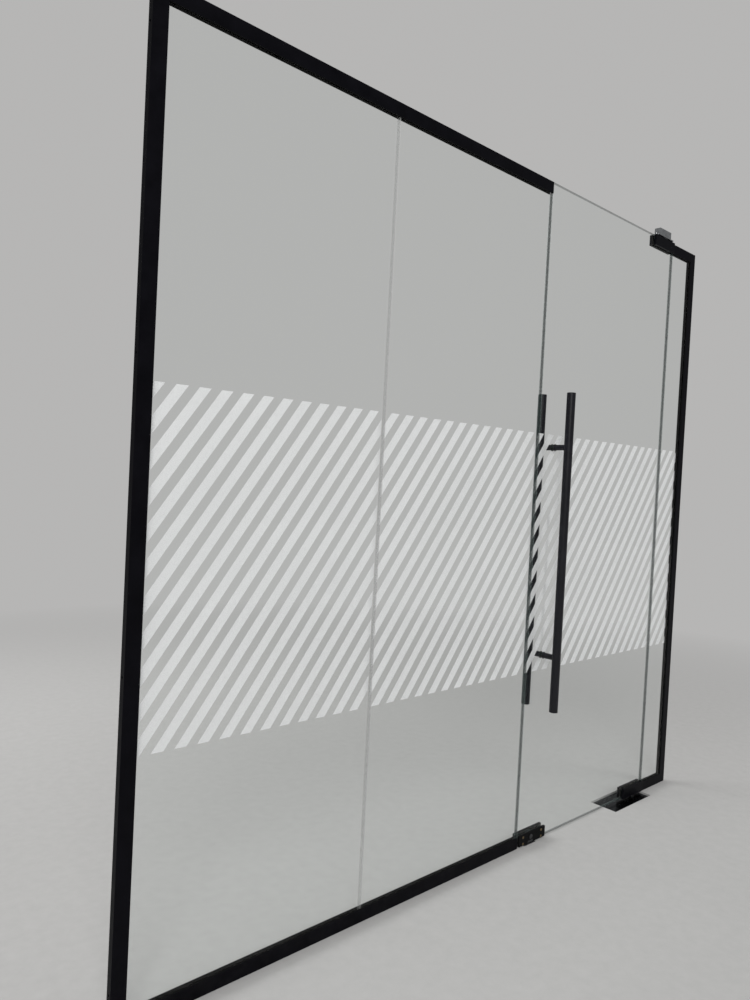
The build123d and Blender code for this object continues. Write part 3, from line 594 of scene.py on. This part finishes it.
class FinishPulls(bpy.types.Operator):
    """Pull handles with their posts, caps, bushes and studs"""

    bl_idname = "screen.finish_pulls"
    bl_label = "Finish the pull handles"

    def execute(self, context):
        finish = finishes()
        # The handles take the fitting black made 2.4 times lighter: painted sheen
        dress(
            satin_black("pull_handle_painted_sheen_black", shaded(finish.coating, 2.4), 0.36, specular=0.28),
            "front_handle_tube",
            "back_handle_tube",
            "handle_caps",
            "handle_posts",
        )
        dress(matt_mould("bush_nylon", finish.nylon, 0.5), "handle_bushes")
        steel = drawn_metal("stud_steel", finish.bright_steel, 0.34, "Y")
        dress(steel, "handle_studs", "handle_grub_screws")
        return {"FINISHED"}


class FinishFloorSpring(bpy.types.Operator):
    """Floor spring with its box, lid, plate and spindle, and the flush screws"""

    bl_idname = "screen.finish_floor_spring"
    bl_label = "Finish the floor spring"

    def execute(self, context):
        finish = finishes()
        zinc = zinc_plate("box_zinc", finish.zinc)
        dress(zinc, "floor_box", "floor_spring_lid")
        dress(painted_casting("housing_paint", finish.casting), "floor_spring_body")
        plate = drawn_metal("floor_plate_steel", finish.cover_plate, 0.2, "X", streak=0.1, stain=0.3)
        dress(plate, "floor_cover_plate")
        # The spindle takes the bright steel darkened to 0.35: painted shade in the gap under the bottom
        # patch; its stains are real
        shaded_spindle = drawn_metal("spindle_shaded_steel", shaded(finish.bright_steel, 0.35), 0.36, "Z", stain=0.4)
        dress(shaded_spindle, "floor_spindle")
        dress(drawn_metal("flush_screw_steel", shaded(finish.bright_steel, 0.7), 0.34, "X"), "flush_screws")
        return {"FINISHED"}


class FinishOverheadPivot(bpy.types.Operator):
    """Overhead pivot with its pin, lever and adjusting screw"""

    bl_idname = "screen.finish_overhead_pivot"
    bl_label = "Finish the overhead pivot"

    def execute(self, context):
        finish = finishes()
        dress(zinc_plate("pivot_zinc", finish.zinc), "top_pivot_frame", "top_pivot_lever")
        steel = drawn_metal("pivot_pin_steel", finish.bright_steel, 0.3, "Z", stain=0.2)
        dress(steel, "top_pivot_pin", "top_pivot_adjuster")
        return {"FINISHED"}


# Studio


def pit(node):
    """The outline of a plate let into the floor, and how deep the floor is cut for it."""
    low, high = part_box(node)
    margin = studio().pit_margin
    depth = max(0.0, -high.z) + PLATE_BED
    return (low.x - margin, high.x + margin), (low.y - margin, high.y + margin), depth


def floor_mesh():
    """A large sheet with a shallow pit for each plate let into it."""
    reach = studio().floor_reach
    pits = [pit("floor_cover_plate"), pit("lock_strike")]
    mesh = bmesh.new()
    bmesh.ops.create_grid(mesh, x_segments=1, y_segments=1, size=reach)
    cuts = [(Vector((x, 0, 0)), Vector((1, 0, 0))) for across, _, _ in pits for x in across]
    cuts += [(Vector((0, y, 0)), Vector((0, 1, 0))) for _, along, _ in pits for y in along]
    for point, normal in cuts:
        everything = mesh.verts[:] + mesh.edges[:] + mesh.faces[:]
        bmesh.ops.bisect_plane(mesh, geom=everything, plane_co=point, plane_no=normal)
    for across, along, depth in pits:
        inside = []
        for face in mesh.faces:
            centre = face.calc_center_median()
            if across[0] < centre.x < across[1] and along[0] < centre.y < along[1]:
                inside.append(face)
        sunk = bmesh.ops.extrude_face_region(mesh, geom=inside)["geom"]
        points = [part for part in sunk if isinstance(part, bmesh.types.BMVert)]
        bmesh.ops.delete(mesh, geom=inside, context="FACES")
        bmesh.ops.translate(mesh, vec=Vector((0, 0, -depth)), verts=points)
    bmesh.ops.recalc_face_normals(mesh, faces=mesh.faces[:])
    return mesh


def floor_material():
    """A plain pale floor that runs into the backdrop's colour far away."""
    room = studio()
    material, recipe = fresh("studio_floor")
    speckle = recipe.clouds(*FLOOR_SPECKLE)
    base = recipe.blend(speckle, shaded(room.floor, 0.97), shaded(room.floor, 1.03))
    matt = recipe.principled(Base_Color=base, Roughness=0.85, Specular_IOR_Level=0.1)
    x, y, _ = recipe.axes(recipe.place())
    far = recipe.between((x * x + y * y).root(), *room.fade)
    glow = recipe.node("ShaderNodeEmission", None, {"Color": (*room.backdrop, 1.0), "Strength": 1.0})
    recipe.surface(recipe.mixed(far, matt, glow))
    return material


def lay_world():
    """A plain backdrop for the camera, a dimmer one for mirrors, and a soft light for all else."""
    room = studio()
    world = bpy.data.worlds.new("studio_world")
    bpy.context.scene.world = world
    recipe = Recipe(world)
    kinds = ("Is Camera Ray", "Is Glossy Ray", "Is Transmission Ray")
    camera, glossy, passed = (recipe.node("ShaderNodeLightPath", output=kind) for kind in kinds)
    light, back, mirrored = (
        recipe.node("ShaderNodeBackground", None, {"Color": (*tone, 1.0), "Strength": strength})
        for tone, strength in (
            ((1.0, 1.0, 1.0), room.fill),
            (room.backdrop, 1.0),
            (room.backdrop, room.mirrored),
        )
    )
    unseen = recipe.mixed(glossy, light, mirrored)
    seen = recipe.mixed(camera.largest(passed), unseen, back)
    recipe.node("ShaderNodeOutputWorld", None, {"Surface": seen})


def lamp(name, place, target, size, watts, mirrored):
    """A rectangular lamp that the camera doesn't see."""
    data = bpy.data.lights.new(name, "AREA")
    data.shape = "RECTANGLE"
    data.size, data.size_y = size
    data.energy = watts
    item = bpy.data.objects.new(name, data)
    bpy.context.scene.collection.objects.link(item)
    item.location = place
    item.rotation_euler = (Vector(target) - Vector(place)).to_track_quat("-Z", "Y").to_euler()
    item.visible_camera = False
    item.visible_glossy = mirrored


class SetStudio(bpy.types.Operator):
    """Floor, backdrop and lamps"""

    bl_idname = "screen.set_studio"
    bl_label = "Set the studio"

    def execute(self, context):
        mesh = floor_mesh()
        data = bpy.data.meshes.new("studio_floor")
        mesh.to_mesh(data)
        mesh.free()
        floor = bpy.data.objects.new("studio_floor", data)
        context.scene.collection.objects.link(floor)
        data.materials.append(floor_material())
        lay_world()
        for name, place, target, size, (setting, part), mirrored in LAMPS:
            lamp(name, place, target, size, getattr(studio(), setting) * part, mirrored)
        context.scene.view_settings.view_transform = "Standard"
        return {"FINISHED"}


class SetCamera(bpy.types.Operator):
    """Camera where the visitor stands, to the left of the door"""

    bl_idname = "screen.set_camera"
    bl_label = "Set the camera"

    def execute(self, context):
        data = bpy.data.cameras.new("visitor")
        data.lens = CAMERA_LENS
        data.sensor_width = CAMERA_SENSOR
        camera = bpy.data.objects.new("visitor", data)
        context.scene.collection.objects.link(camera)
        turn = Matrix((CAMERA_RIGHT, CAMERA_UP, -Vector(CAMERA_AHEAD))).transposed().to_4x4()
        camera.matrix_world = Matrix.Translation(CAMERA_PLACE) @ turn
        context.scene.camera = camera
        return {"FINISHED"}


class ScreenPanel(bpy.types.Panel):
    """Lists the screen's steps and settings"""

    bl_idname = "VIEW3D_PT_screen"
    bl_label = "Glass entrance screen"
    bl_space_type = "VIEW_3D"
    bl_region_type = "UI"
    bl_category = "Screen"

    def draw(self, context):
        column = self.layout.column()
        for step in STEPS:
            column.operator(step.bl_idname)
        for settings in (context.scene.screen_finish, context.scene.screen_studio):
            for name in settings.bl_rna.properties.keys():
                if name not in ("rna_type", "name"):
                    column.prop(settings, name)


STEPS = (
    FinishChannels,
    FinishGlass,
    FinishFilm,
    FinishPatches,
    FinishLock,
    FinishPulls,
    FinishFloorSpring,
    FinishOverheadPivot,
    SetStudio,
    SetCamera,
)
CLASSES = (FinishSettings, StudioSettings) + STEPS + (ScreenPanel,)


def register():
    for item in CLASSES:
        bpy.utils.register_class(item)
    bpy.types.Scene.screen_finish = PointerProperty(type=FinishSettings)
    bpy.types.Scene.screen_studio = PointerProperty(type=StudioSettings)


def unregister():
    del bpy.types.Scene.screen_studio
    del bpy.types.Scene.screen_finish
    for item in reversed(CLASSES):
        bpy.utils.unregister_class(item)


def main():
    register()
    for step in STEPS:
        family, name = step.bl_idname.split(".")
        getattr(getattr(bpy.ops, family), name)()


if __name__ == "__main__":
    main()
